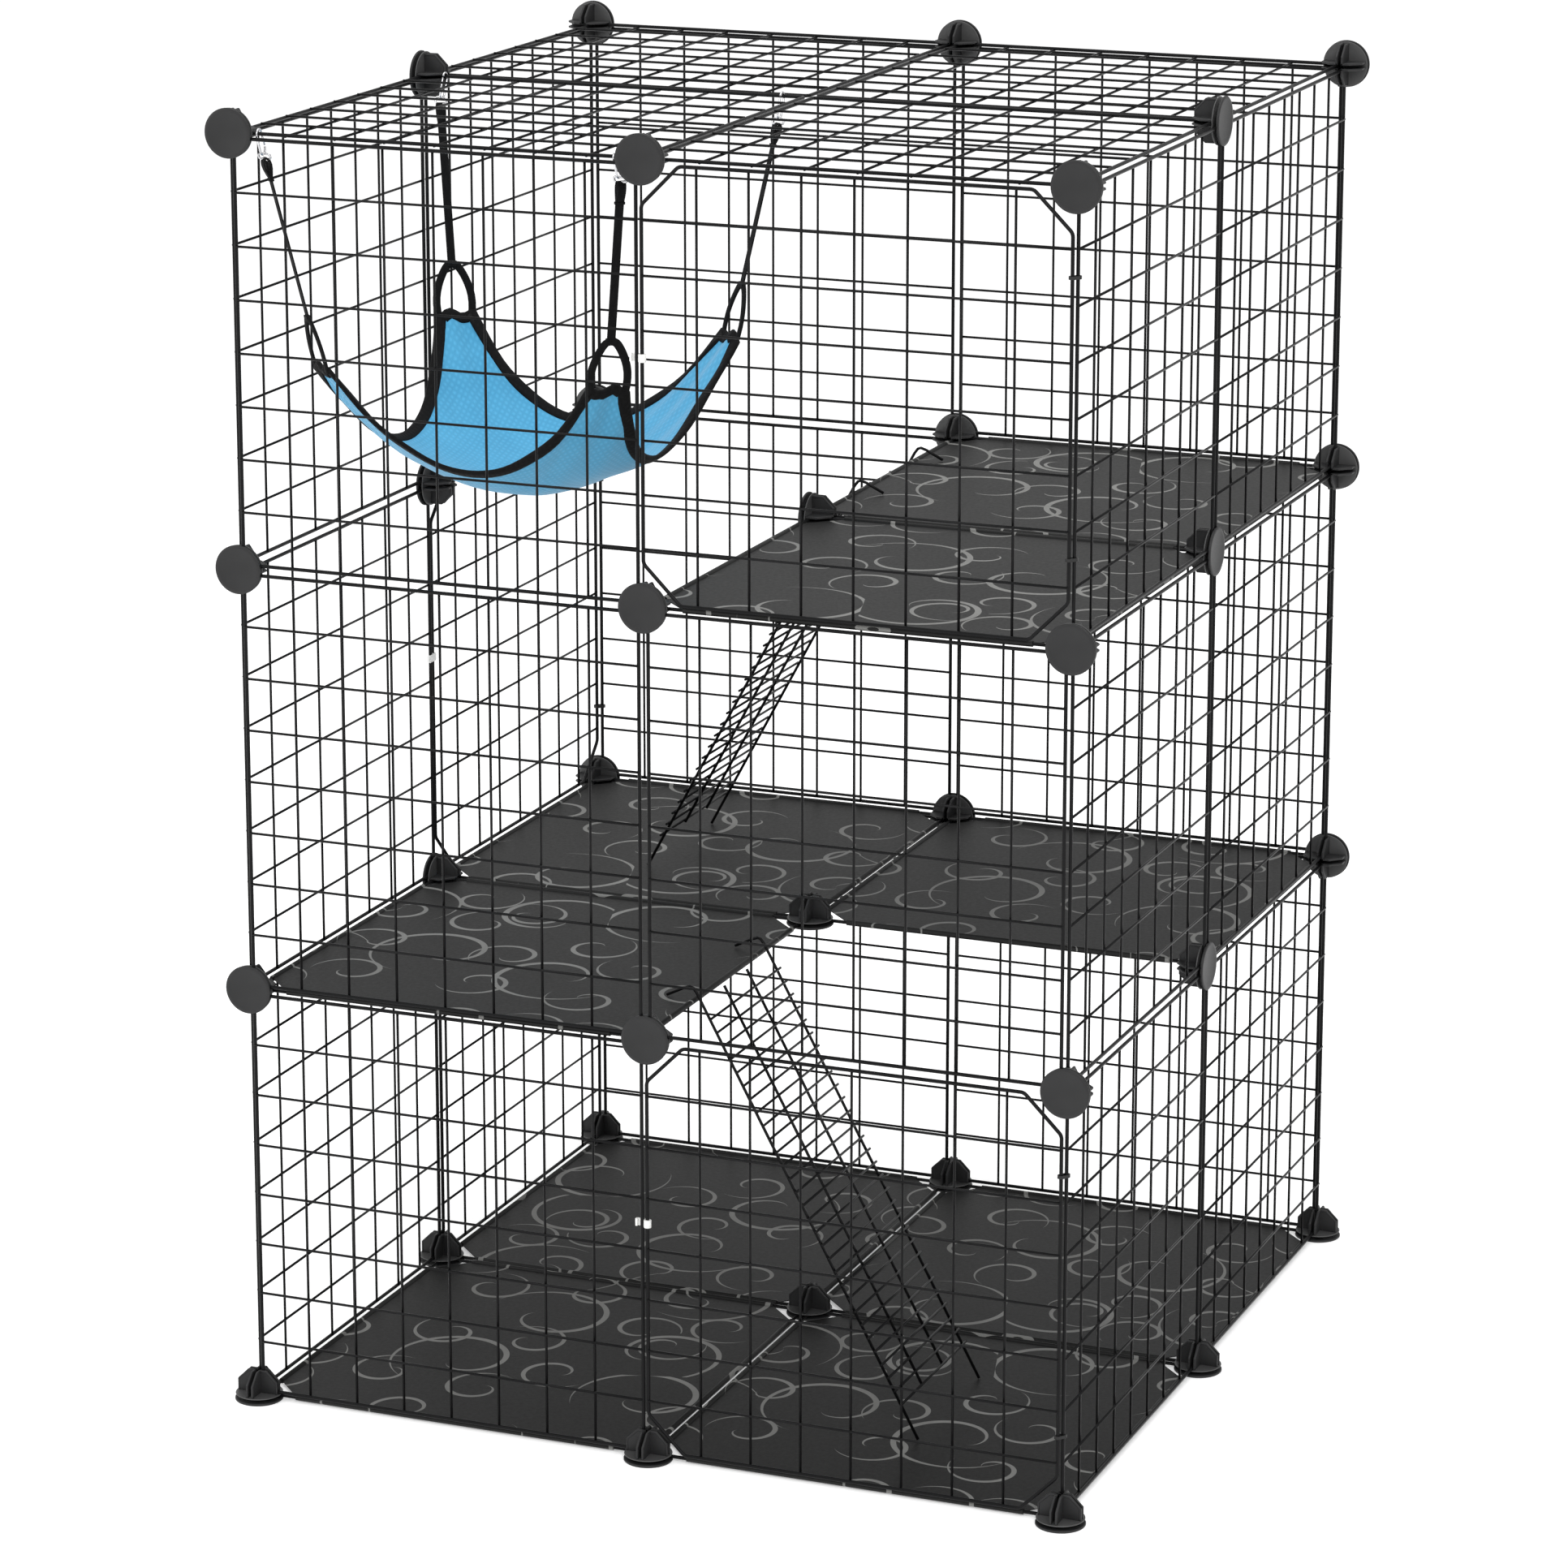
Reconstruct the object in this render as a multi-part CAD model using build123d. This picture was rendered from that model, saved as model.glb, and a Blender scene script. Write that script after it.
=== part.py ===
from build123d import *
import math
import os

# Cat cage of square wire panels held by round connectors, two bays wide, two deep and three high.
# Millimetres, +Z up, -Y is the front. The origin is the middle of the ground plane under the feet.

# Lattice of bays
bay = 350.0
bays_wide = 2
bays_deep = 2
storeys = 3

# Welded wire panels
frame_wire = 3.0
grid_wire = 2.0
cells = 8
panel_gap = 8.0
clearance = 0.1

# Doors
door_overlap = 3.5
door_hinge_reach = 1.0
door_corner_cut = 31.0

# Floor and shelf tiles
sheet_thickness = 0.8
sheet_corner_cut = 28.0

# Round connectors
disc_radius = 20.0
disc_thickness = 2.0
disc_sides = 16
inner_disc_radius = 19.5
inner_disc_thickness = 0.9
inner_disc_sides = 12
hub_side = 4.4
fin_wall = 1.5
fin_reach = 18.0
fin_height = 19.5
fin_top_reach = 8.5

# Door latches
latch_height = 6.5
latch_collar_radius = 2.6
latch_wall = 0.85
latch_arm = 1.2
latch_reach = 10.8
latch_lip = 1.6
latch_cell = 5

# Door hinge ties
tie_band = 1.0
tie_height = 2.5
tie_cells = (2, 7)

# Ramps
ramp_run = 190.0
ramp_width = 144.0
ramp_rail = 2.5
ramp_rung = 2.0
rung_pitch = 12.0
rung_overhang = 2.0
ramp_leg = 32.0
ramp_peak = 13.0
ramp_hook = 24.0
ramp_seat = 0.3
lower_ramp_y = -170.0
upper_ramp_y = 168.0

# Hammock
hammock_anchor_inset = 19.0
hammock_half = 143.0
hammock_waist = 28.0
hammock_corner_drop = 163.0
hammock_edge_drop = 272.0
hammock_belly_drop = 308.0
hammock_cloth = 1.6
hammock_corner_cut = 22.0
loop_height = 44.0
loop_width = 30.0
loop_top_width = 15.0
loop_band = 6.0
loop_tape = 1.6
strap_width = 7.0
strap_tape = 1.0
soft_gap = 0.3

# Snap hooks
hook_wire = 1.8
hook_tilt = 25.0
hook_width = 10.0
hook_length = 24.0
hook_eye_width = 12.0
hook_eye_height = 6.5
gate_length = 11.0
gate_gap = 0.3

# Sizes worked out from the ones above
panel_side = bay - panel_gap
inner_side = panel_side - frame_wire
cell_pitch = panel_side / cells
disc_gap = frame_wire + clearance
slot = frame_wire + 2 * clearance
foot_height = disc_thickness + disc_gap / 2
half_wide = bay * bays_wide / 2
half_deep = bay * bays_deep / 2
hem = frame_wire / 2 + clearance + sheet_thickness
door_width = panel_side + door_overlap + door_hinge_reach
octagon_share = (1 - math.tan(math.pi / 8)) / 2
octagon_cut = frame_wire * octagon_share
wire_circumradius = frame_wire / 2 / math.cos(math.pi / 8)
column_x = [-half_wide + bay * i for i in range(bays_wide + 1)]
column_y = [-half_deep + bay * i for i in range(bays_deep + 1)]
bay_x = [-half_wide + bay * (i + 0.5) for i in range(bays_wide)]
bay_y = [-half_deep + bay * (i + 0.5) for i in range(bays_deep)]

side_names = ["left", "right"]
depth_names = ["front", "rear"]
storey_names = ["bottom", "middle", "top"]
level_names = ["floor", "lower_shelf", "upper_shelf", "roof"]


def level(index):
    return foot_height + bay * index


def cut_rectangle(width, height, cut):
    """A rectangle with its four corners cut off at 45 degrees, or a plain one without a cut."""
    x, y = width / 2, height / 2
    if cut <= 0:
        return make_face(Polyline((-x, -y), (x, -y), (x, y), (-x, y), close=True))
    return make_face(
        Polyline(
            (-x + cut, -y), (x - cut, -y), (x, -y + cut), (x, y - cut),
            (x - cut, y), (-x + cut, y), (-x, y - cut), (-x, -y + cut), close=True,
        )
    )


def frame_loop(width, height, corner_cut):
    """The thick wire round a panel, of octagonal section, measured to its centre line."""
    half = frame_wire / 2
    cut_change = half * (2 - math.sqrt(2)) if corner_cut > 0 else 0
    outer = cut_rectangle(width + frame_wire, height + frame_wire, corner_cut + cut_change)
    inner = cut_rectangle(width - frame_wire, height - frame_wire, corner_cut - cut_change)
    ring = extrude(outer - inner, amount=half, both=True)
    rims = ring.edges().filter_by(Plane.XY)
    return chamfer(rims, octagon_cut).solid()


def grid_bars(width, height):
    """The thin wires, level ones on the outer side and upright ones behind them."""
    bars = []
    for index in range(1, cells):
        offset = (index - cells / 2) * cell_pitch
        bars.append(Pos(0, offset, grid_wire / 2) * Box(width - frame_wire, grid_wire, grid_wire))
        bars.append(Pos(offset, 0, -grid_wire / 2) * Box(grid_wire, height - frame_wire, grid_wire))
    return bars


def wire_panel():
    return [frame_loop(panel_side, panel_side, 0)] + grid_bars(panel_side, panel_side)


def door_panel():
    return [frame_loop(door_width, panel_side, door_corner_cut)] + grid_bars(door_width, panel_side)


def sheet():
    """A tile's plastic sheet: a thin plate with a hem round each frame wire and its corners cut off."""
    cut = sheet_corner_cut
    plate_side = panel_side - frame_wire - 2 * clearance
    plate = extrude(cut_rectangle(plate_side, plate_side, cut - hem), amount=sheet_thickness / 2, both=True)
    hem_length = panel_side - 2 * cut
    bore = frame_wire + 2 * clearance
    sleeve = Box(hem_length, 2 * hem, 2 * hem) - Box(hem_length, bore, bore)
    result = plate
    for turn in range(4):
        result += Rot(0, 0, 90 * turn) * Pos(0, panel_side / 2, 0) * sleeve
    return result.solid()


def connector():
    """A moulded connector: two discs on a square hub, and four L-shaped fins that leave two crossed slots."""
    outer = extrude(Pos(0, 0, disc_gap / 2) * RegularPolygon(disc_radius, disc_sides), amount=disc_thickness)
    inner_face = Pos(0, 0, -disc_gap / 2) * RegularPolygon(inner_disc_radius, inner_disc_sides)
    inner = extrude(inner_face, amount=-inner_disc_thickness)
    hub = Box(hub_side, hub_side, disc_gap)
    top = fin_height
    shoulder = fin_height - (fin_reach - fin_top_reach)
    near = slot / 2
    profile = make_face(
        Polyline(
            (near, 0), (fin_reach, 0), (fin_reach, shoulder), (fin_top_reach, top), (near, top), close=True
        )
    )
    wall = Pos(0, -near, 0) * extrude(Plane.XZ * profile, amount=fin_wall)
    other_wall = wall.mirror(Plane(origin=(0, 0, 0), x_dir=(0, 0, 1), z_dir=(1, 1, 0)))
    fin = Rot(180, 0, 0) * (wall + other_wall)
    fins = [Rot(0, 0, 90 * turn) * Pos(0, 0, -disc_gap / 2 - inner_disc_thickness) * fin for turn in range(4)]
    return (outer + hub + inner + fins).solid()


def eight_sides(across_flats):
    """A regular octagon with flat sides at the top and bottom, by its width between flats."""
    return Rot(0, 0, 22.5) * RegularPolygon(across_flats / 2, 8, major_radius=False)


def latch():
    """Collar on the door's upright with an arm and lip; local x runs across the door, z points outwards."""
    bore = eight_sides(2 * (latch_collar_radius - latch_wall))
    arm_near = frame_wire / 2 + soft_gap
    lip_depth = arm_near + latch_arm
    arm = Pos(-latch_reach / 2, arm_near + latch_arm / 2) * Rectangle(latch_reach, latch_arm)
    lip = Pos(-latch_reach + latch_lip / 2, lip_depth / 2) * Rectangle(latch_lip, lip_depth)
    profile = eight_sides(2 * latch_collar_radius) + arm + lip - bore
    return Rot(-90, 0, 0) * extrude(profile, amount=latch_height / 2, both=True).solid()


def hinge_tie(first, second, height):
    """A flat band round two upright wires, at one height."""
    ax, ay = first
    bx, by = second
    distance = math.hypot(bx - ax, by - ay)
    turn = math.degrees(math.atan2(by - ay, bx - ax))
    inside = 2 * (wire_circumradius + clearance)
    outside = inside + 2 * tie_band
    inner = cut_rectangle(distance + inside, inside, inside * octagon_share)
    outer = cut_rectangle(distance + outside, outside, outside * octagon_share)
    solid = extrude(outer - inner, amount=tie_height / 2, both=True)
    return Pos((ax + bx) / 2, (ay + by) / 2, height) * Rot(0, 0, turn) * solid.solid()


def strip(points, width):
    """A flat band of one width along a run of points, with mitred turns."""
    sides = ([], [])
    for index, point in enumerate(points):
        here = Vector(*point)
        before = here - Vector(*points[index - 1]) if index > 0 else Vector(*points[1]) - here
        after = Vector(*points[index + 1]) - here if index + 1 < len(points) else before
        before, after = before.normalized(), after.normalized()
        across = Vector(-(before.Y + after.Y), before.X + after.X).normalized()
        reach = width / 2 / (across.X * -before.Y + across.Y * before.X)
        sides[0].append(here + across * reach)
        sides[1].append(here - across * reach)
    return make_face(Polyline(*sides[0], *reversed(sides[1]), close=True))


def ramp(direction, edge_x, middle_y, top_level):
    """Four long wires with rungs across, hooked over a shelf edge; direction is the way it descends."""
    slope = math.atan2(bay, ramp_run)
    rail_half = ramp_rail / 2
    stand_off = hem + (rail_half + ramp_seat) / math.sin(slope) + hem / math.tan(slope)
    floor_z = -bay + sheet_thickness / 2 + ramp_seat
    foot_z = floor_z + rail_half * math.cos(slope)
    foot = (stand_off - foot_z / math.tan(slope), foot_z)
    peak = (stand_off - ramp_peak / math.tan(slope), ramp_peak)
    tip_z = sheet_thickness / 2 + ramp_seat + rail_half
    tip = (-ramp_hook, tip_z)
    down = Vector(math.cos(slope), -math.sin(slope))
    outward = Vector(math.sin(slope), math.cos(slope))
    start = Vector(stand_off, 0) + down * rail_half
    length = (Vector(*foot) - start).length
    last_rung = length - ramp_leg
    rung_count = int((last_rung - rung_pitch) / rung_pitch) + 1
    first_rung = last_rung - (rung_count - 1) * rung_pitch
    inner_end = start + down * last_rung

    pieces = []
    half_width = ramp_width / 2
    outline = strip([foot, peak, tip], ramp_rail)
    for y in (-half_width, half_width):
        pieces.append(Pos(0, y, 0) * extrude(Plane.XZ * outline, amount=rail_half, both=True))
    short = strip([(start.X, start.Y), (inner_end.X, inner_end.Y)], ramp_rail)
    for y in (-half_width / 3, half_width / 3):
        pieces.append(Pos(0, y, 0) * extrude(Plane.XZ * short, amount=rail_half, both=True))
    for index in range(rung_count):
        at = start + down * (first_rung + index * rung_pitch) + outward * (rail_half + ramp_rung / 2)
        rung = Box(ramp_rung, ramp_width + ramp_rail + 2 * rung_overhang, ramp_rung)
        pieces.append(Pos(at.X, 0, at.Y) * Rot(0, math.degrees(slope), 0) * rung)
    placed = []
    for piece in pieces:
        turned = piece if direction > 0 else piece.mirror(Plane.YZ)
        placed.append(Pos(edge_x, middle_y, level(top_level)) * turned.solid())
    return placed


def hammock_middle():
    return bay_x[0], bay_y[0], level(storeys)


def cloth_point(u, v):
    """A point of the cloth; u and v run from -1 to 1 across it and along it."""
    middle_x, middle_y, roof_z = hammock_middle()
    edge_rise = hammock_belly_drop - hammock_edge_drop
    corner_rise = hammock_belly_drop - hammock_corner_drop
    x = middle_x + u * (hammock_half - hammock_waist * (1 - v * v))
    y = middle_y + v * (hammock_half - hammock_waist * (1 - u * u))
    rise = edge_rise * (u * u + v * v) + (corner_rise - 2 * edge_rise) * u * u * v * v
    return Vector(x, y, roof_z - hammock_belly_drop + rise)


def hammock_sheet():
    """The hanging cloth: flat triangles over and under its dip, with a rim round the cut corners."""
    cut = 1 - hammock_corner_cut / hammock_half
    steps = [-1, -cut, -0.5, 0, 0.5, cut, 1]
    down = Vector(0, 0, -hammock_cloth)
    faces = []
    for u0, u1 in zip(steps, steps[1:]):
        for v0, v1 in zip(steps, steps[1:]):
            ring = [(u0, v0), (u1, v0), (u1, v1), (u0, v1)]
            ring = [place for place in ring if abs(place[0]) < 1 or abs(place[1]) < 1]
            for second, third in zip(ring[1:], ring[2:]):
                over = [cloth_point(*place) for place in (ring[0], second, third)]
                faces.append(make_face(Polyline(*over, close=True)))
                faces.append(make_face(Polyline(*[point + down for point in over], close=True)))
    for outline in cloth_outline(cut, steps):
        start, end = outline
        faces.append(make_face(Polyline(start, end, end + down, start + down, close=True)))
    return Solid(Shell(faces))


def cloth_outline(cut, steps):
    """The straight stretches of the cloth's edge, as pairs of points."""
    side = [(place, -1) for place in steps[1:-1]] + [(1, -cut)]
    pairs = []
    for turn in range(4):
        angle = math.radians(90 * turn)
        c, s = round(math.cos(angle)), round(math.sin(angle))
        turned = [cloth_point(u * c - v * s, u * s + v * c) for u, v in side]
        pairs += list(zip(turned, turned[1:]))
    return pairs


def corner_places():
    """Each hammock corner: its two signs, the cloth corner, and the roof wire that its hook hangs on."""
    middle_x, middle_y, roof_z = hammock_middle()
    cut = 1 - hammock_corner_cut / hammock_half
    places = []
    for sign_y, name_y in ((-1, "front"), (1, "rear")):
        for sign_x, name_x in ((-1, "left"), (1, "right")):
            corner = (cloth_point(sign_x * cut, sign_y) + cloth_point(sign_x, sign_y * cut)) * 0.5
            anchor_x = middle_x + sign_x * (panel_side / 2 - hammock_anchor_inset)
            anchor = Vector(anchor_x, middle_y + sign_y * panel_side / 2, roof_z)
            places.append((f"{name_y}_{name_x}", sign_x, sign_y, corner, anchor))
    return places


def hook_plane(anchor, sign_y):
    """Local x points into the cage and y up along the tilted hook, from the middle of its oval."""
    tilt = math.radians(hook_tilt)
    up = Vector(0, sign_y * math.sin(tilt), math.cos(tilt))
    inward = Vector(0, -sign_y * math.cos(tilt), math.sin(tilt))
    seat = wire_circumradius + clearance + hook_wire
    middle = anchor - up * (hook_length / 2 - seat) + inward * (hook_width / 2 - seat)
    return Plane(origin=middle, x_dir=inward, z_dir=inward.cross(up))


def hook_bottom(anchor, sign_y):
    """The middle of the bar that a strap hangs from."""
    plane = hook_plane(anchor, sign_y)
    return plane.origin - plane.y_dir * (hook_length / 2 + hook_eye_height - 1.5 * hook_wire)


def strap_direction(corner, anchor, sign_y):
    return (hook_bottom(anchor, sign_y) - corner).normalized()


def corner_loop(corner, anchor, sign_x, sign_y):
    """A teardrop loop of tape, sewn to a cloth corner."""
    up = strap_direction(corner, anchor, sign_y)
    across = Vector(sign_x, -sign_y, 0).normalized()
    half = loop_width / 2
    top = loop_top_width / 2
    shoulder = loop_height - loop_band
    outer = make_face(
        Polyline((-half, 0), (half, 0), (half, loop_band), (top, shoulder), (top / 2, loop_height),
                 (-top / 2, loop_height), (-top, shoulder), (-half, loop_band), close=True)
    )
    inner = offset(outer, -loop_band, kind=Kind.INTERSECTION)
    plane = Plane(origin=corner + up * soft_gap, x_dir=across, z_dir=across.cross(up))
    return extrude(plane * (outer - inner), amount=loop_tape / 2, both=True).solid()


def strap(corner, anchor, sign_y):
    """A straight flat strap from the loop's top to the snap hook's eye."""
    up = strap_direction(corner, anchor, sign_y)
    start = corner + up * (loop_height + 2 * soft_gap)
    lean = strap_width / 2 * abs(up.X)
    end = hook_bottom(anchor, sign_y) - up * (hook_wire / 2 + soft_gap + lean)
    plane = Plane(origin=start, x_dir=Vector(0, 1, 0).cross(up), z_dir=up)
    return extrude(plane * Rectangle(strap_width, strap_tape), amount=(end - start).length).solid()


def snap_hook(anchor, sign_y):
    """An oblong hook with a gap for its gate, over a bar that holds the strap."""
    inner_width = hook_width - 2 * hook_wire
    rim = cut_rectangle(hook_width, hook_length, hook_wire)
    oval = rim - Rectangle(inner_width, hook_length - 2 * hook_wire)
    gap = Pos((hook_width - hook_wire) / 2, 0) * Rectangle(2 * hook_wire, gate_length + 2 * gate_gap)
    body = extrude(oval - gap, amount=hook_wire / 2, both=True)
    eye = Rectangle(hook_eye_width, hook_eye_height) - Rectangle(
        hook_eye_width - 2 * hook_wire, hook_eye_height - 2 * hook_wire
    )
    eye_y = -hook_length / 2 - hook_eye_height / 2 + hook_wire
    ring = Pos(0, eye_y, 0) * Rot(0, 90, 0) * extrude(eye, amount=hook_wire / 2, both=True)
    return (hook_plane(anchor, sign_y) * (body + ring)).solid()


def snap_gate(anchor, sign_y):
    """The small bar that closes a snap hook."""
    bar = Pos((hook_width - hook_wire) / 2, 0, 0) * Box(hook_wire * 0.8, gate_length, hook_wire)
    return (hook_plane(anchor, sign_y) * bar).solid()


def save(name, solids):
    export_step(Compound(children=list(solids)), f"parts/{name}.step")


def wall_plane(side, position, middle_z):
    """The plane of a wall panel, z outwards and y up; position runs along the wall."""
    if side == "front":
        return Plane(origin=(position, -half_deep, middle_z), x_dir=(1, 0, 0), z_dir=(0, -1, 0))
    if side == "rear":
        return Plane(origin=(position, half_deep, middle_z), x_dir=(-1, 0, 0), z_dir=(0, 1, 0))
    if side == "left":
        return Plane(origin=(-half_wide, position, middle_z), x_dir=(0, -1, 0), z_dir=(-1, 0, 0))
    return Plane(origin=(half_wide, position, middle_z), x_dir=(0, 1, 0), z_dir=(1, 0, 0))


doors = [("front", 1, 0), ("front", 1, 2), ("left", 1, 1)]


def make_walls():
    panel = wire_panel()
    door = door_panel()
    for side in ("front", "rear", "left", "right"):
        along = bay_x if side in ("front", "rear") else bay_y
        names = side_names if side in ("front", "rear") else depth_names
        for index, position in enumerate(along):
            for storey in range(storeys):
                is_door = (side, index, storey) in doors
                shift = (door_hinge_reach - door_overlap) / 2 if is_door else 0
                plane = wall_plane(side, position + shift, level(storey) + bay / 2)
                kind = "door" if is_door else "panel"
                name = f"{side}_{names[index]}_{storey_names[storey]}_{kind}"
                save(name, [plane * piece for piece in (door if is_door else panel)])


def make_roof():
    panel = wire_panel()
    for x, side in zip(bay_x, side_names):
        for y, depth in zip(bay_y, depth_names):
            save(f"roof_{depth}_{side}_panel", [Pos(x, y, level(storeys)) * piece for piece in panel])


shelf_bays = {
    0: [(0, 0), (1, 0), (0, 1), (1, 1)],
    1: [(0, 0), (0, 1), (1, 1)],
    2: [(1, 0), (1, 1)],
}


def make_shelves():
    frame = frame_loop(panel_side, panel_side, 0)
    plate = sheet()
    for index, bays in shelf_bays.items():
        places = [Pos(bay_x[i], bay_y[j], level(index)) for i, j in bays]
        save(f"{level_names[index]}_frames", [place * frame for place in places])
        for (i, j), place in zip(bays, places):
            save(f"{level_names[index]}_{depth_names[j]}_{side_names[i]}_sheet", [place * plate])


def disc_direction(i, j, index):
    """The way that a connector's disc faces, or nothing where there is no connector."""
    if index == 0:
        return (0, 0, -1)
    if j == 0:
        return (0, -1, 0)
    if j == bays_deep:
        return (0, 1, 0)
    if i == 0:
        return (-1, 0, 0)
    if i == bays_wide:
        return (1, 0, 0)
    return {1: (0, 0, -1), 2: (-1, 0, 0)}.get(index)


def make_connectors():
    body = connector()
    for index in range(storeys + 1):
        placed = []
        for i, x in enumerate(column_x):
            for j, y in enumerate(column_y):
                facing = disc_direction(i, j, index)
                if facing is None:
                    continue
                across = (0, 1, 0) if facing[1] == 0 else (1, 0, 0)
                placed.append(Plane(origin=(x, y, level(index)), x_dir=across, z_dir=facing) * body)
        save(f"{level_names[index]}_connectors", placed)


def make_door_fittings():
    clip = latch()
    ties = []
    for side, index, storey in doors:
        latch_z = level(storey) + panel_gap / 2 + cell_pitch * (latch_cell - 0.5)
        near = (panel_gap / 2 - door_overlap)
        far = near + door_width
        if side == "front":
            place = Plane(origin=(near, -half_deep, latch_z), x_dir=(1, 0, 0), z_dir=(0, -1, 0))
            hinge_wire = (far, -half_deep)
            next_wire = (half_wide, -half_deep + panel_gap / 2)
        else:
            place = Plane(origin=(-half_wide, near, latch_z), x_dir=(0, 1, 0), z_dir=(-1, 0, 0))
            hinge_wire = (-half_wide, far)
            next_wire = (-half_wide + panel_gap / 2, half_deep)
        save(f"{side}_{storey_names[storey]}_door_latch", [place * clip])
        for cell in tie_cells:
            tie_z = level(storey) + panel_gap / 2 + cell_pitch * (cell - 0.5)
            ties.append(hinge_tie(hinge_wire, next_wire, tie_z))
    save("door_hinge_ties", ties)


def make_ramps():
    edge = panel_gap / 2
    save("lower_ramp", ramp(1, -edge, lower_ramp_y, 1))
    save("upper_ramp", ramp(-1, edge, upper_ramp_y, 2))


def make_hammock():
    save("hammock_cloth", [hammock_sheet()])
    loops, straps, hooks = [], [], []
    for name, sign_x, sign_y, corner, anchor in corner_places():
        loops.append(corner_loop(corner, anchor, sign_x, sign_y))
        straps.append(strap(corner, anchor, sign_y))
        hooks.append(snap_hook(anchor, sign_y))
        save(f"{name}_hook_gate", [snap_gate(anchor, sign_y)])
    save("hammock_corner_loops", loops)
    save("hammock_straps", straps)
    save("hammock_hooks", hooks)


os.makedirs("parts", exist_ok=True)
make_walls()
make_roof()
make_shelves()
make_connectors()
make_door_fittings()
make_ramps()
make_hammock()
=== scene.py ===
import math

import bmesh
import bpy
from mathutils import Matrix, Vector, noise


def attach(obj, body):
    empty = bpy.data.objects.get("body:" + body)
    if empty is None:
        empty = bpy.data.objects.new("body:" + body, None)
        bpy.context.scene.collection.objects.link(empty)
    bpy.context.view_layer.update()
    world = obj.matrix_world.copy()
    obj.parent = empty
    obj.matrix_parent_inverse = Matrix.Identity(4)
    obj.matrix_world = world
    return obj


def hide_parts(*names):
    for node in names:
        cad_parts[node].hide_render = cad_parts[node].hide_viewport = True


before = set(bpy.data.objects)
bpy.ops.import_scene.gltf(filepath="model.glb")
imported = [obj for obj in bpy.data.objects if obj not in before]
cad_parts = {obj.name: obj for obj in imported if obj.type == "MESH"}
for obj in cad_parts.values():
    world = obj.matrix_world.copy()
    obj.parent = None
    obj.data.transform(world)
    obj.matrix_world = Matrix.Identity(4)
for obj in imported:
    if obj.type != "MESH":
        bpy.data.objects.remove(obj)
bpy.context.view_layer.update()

# Sizes in metres, as in the CAD part
BAY = 0.350
FOOT = 0.00355
PANEL_SIDE = 0.342
FRAME_WIRE = 0.0030
GRID_WIRE = 0.0021
CELLS = 8
CELL = PANEL_SIDE / CELLS
DOOR_OVERLAP = 0.0035
DOOR_REACH = 0.0010
DOOR_CUT = 0.031
DISC_GAP = 0.0031
SHEET_CUT = 0.028
SHEET_THICK = 0.0008
HEM = 0.0024
PANEL_BEND = 0.004
DOOR_BEND = 0.007
PANEL_EDGE = (BAY - PANEL_SIDE) / 2

BAY_X = [-BAY / 2, BAY / 2]
BAY_Y = [-BAY / 2, BAY / 2]
COLUMNS = [-BAY, 0.0, BAY]
SIDES = ["left", "right"]
DEPTHS = ["front", "rear"]
STOREYS = ["bottom", "middle", "top"]
LEVELS = ["floor", "lower_shelf", "upper_shelf", "roof"]
DOORS = {
    ("front", 1, 0): "front_bottom_door",
    ("front", 1, 2): "front_top_door",
    ("left", 1, 1): "left_middle_door",
}
SHELF_BAYS = {0: [(0, 0), (1, 0), (0, 1), (1, 1)], 1: [(0, 0), (0, 1), (1, 1)], 2: [(1, 0), (1, 1)]}


def level(index):
    return FOOT + BAY * index


# Edge rounding of thin moulded pieces
FINE_BEVEL = 0.0002


# Mesh building
def tube(bm, points, radius, sides=12, closed=False, flat=1.0, up=None):
    """A round or flattened tube along points; flat is its thickness over its width."""
    points = [Vector(p) for p in points]
    count = len(points)
    rings = []
    side = None
    for i, point in enumerate(points):
        before = points[i - 1] if i > 0 or closed else point
        after = points[(i + 1) % count] if i + 1 < count or closed else point
        along = (after - before).normalized()
        if up is not None:
            side = along.cross(Vector(up)).normalized()
        elif side is None:
            side = along.orthogonal().normalized()
        else:
            side = (side - along * side.dot(along)).normalized()
        other = along.cross(side)
        ring = []
        for k in range(sides):
            a = 2 * math.pi * k / sides
            offset = side * (radius * math.cos(a)) + other * (radius * flat * math.sin(a))
            ring.append(bm.verts.new(point + offset))
        rings.append(ring)
    pairs = list(zip(rings, rings[1:]))
    if closed:
        pairs.append((rings[-1], rings[0]))
    for first, second in pairs:
        for k in range(sides):
            n = (k + 1) % sides
            face = bm.faces.new((first[k], first[n], second[n], second[k]))
            face.smooth = True
    if not closed:
        bm.faces.new(list(reversed(rings[0])))
        bm.faces.new(rings[-1])


def prism(bm, outline, thickness, place=Matrix.Identity(4)):
    """A flat plate of an outline in local x and y, centred on local z."""
    low = [bm.verts.new(place @ Vector((x, y, -thickness / 2))) for x, y in outline]
    high = [bm.verts.new(place @ Vector((x, y, thickness / 2))) for x, y in outline]
    bm.faces.new(list(reversed(low)))
    bm.faces.new(high)
    for i in range(len(outline)):
        n = (i + 1) % len(outline)
        bm.faces.new((low[i], low[n], high[n], high[i]))


def lathe(bm, profile, segments=48):
    """A turned form about z; profile is (radius, height) pairs, closed at the axis."""
    rings = []
    for r, z in profile:
        ring = []
        for k in range(segments):
            a = 2 * math.pi * k / segments
            ring.append(bm.verts.new((r * math.cos(a), r * math.sin(a), z)))
        rings.append(ring)
    for first, second in zip(rings, rings[1:]):
        for k in range(segments):
            n = (k + 1) % segments
            bm.faces.new((first[k], first[n], second[n], second[k])).smooth = True
    bm.faces.new(list(reversed(rings[0])))
    bm.faces.new(rings[-1])


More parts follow.
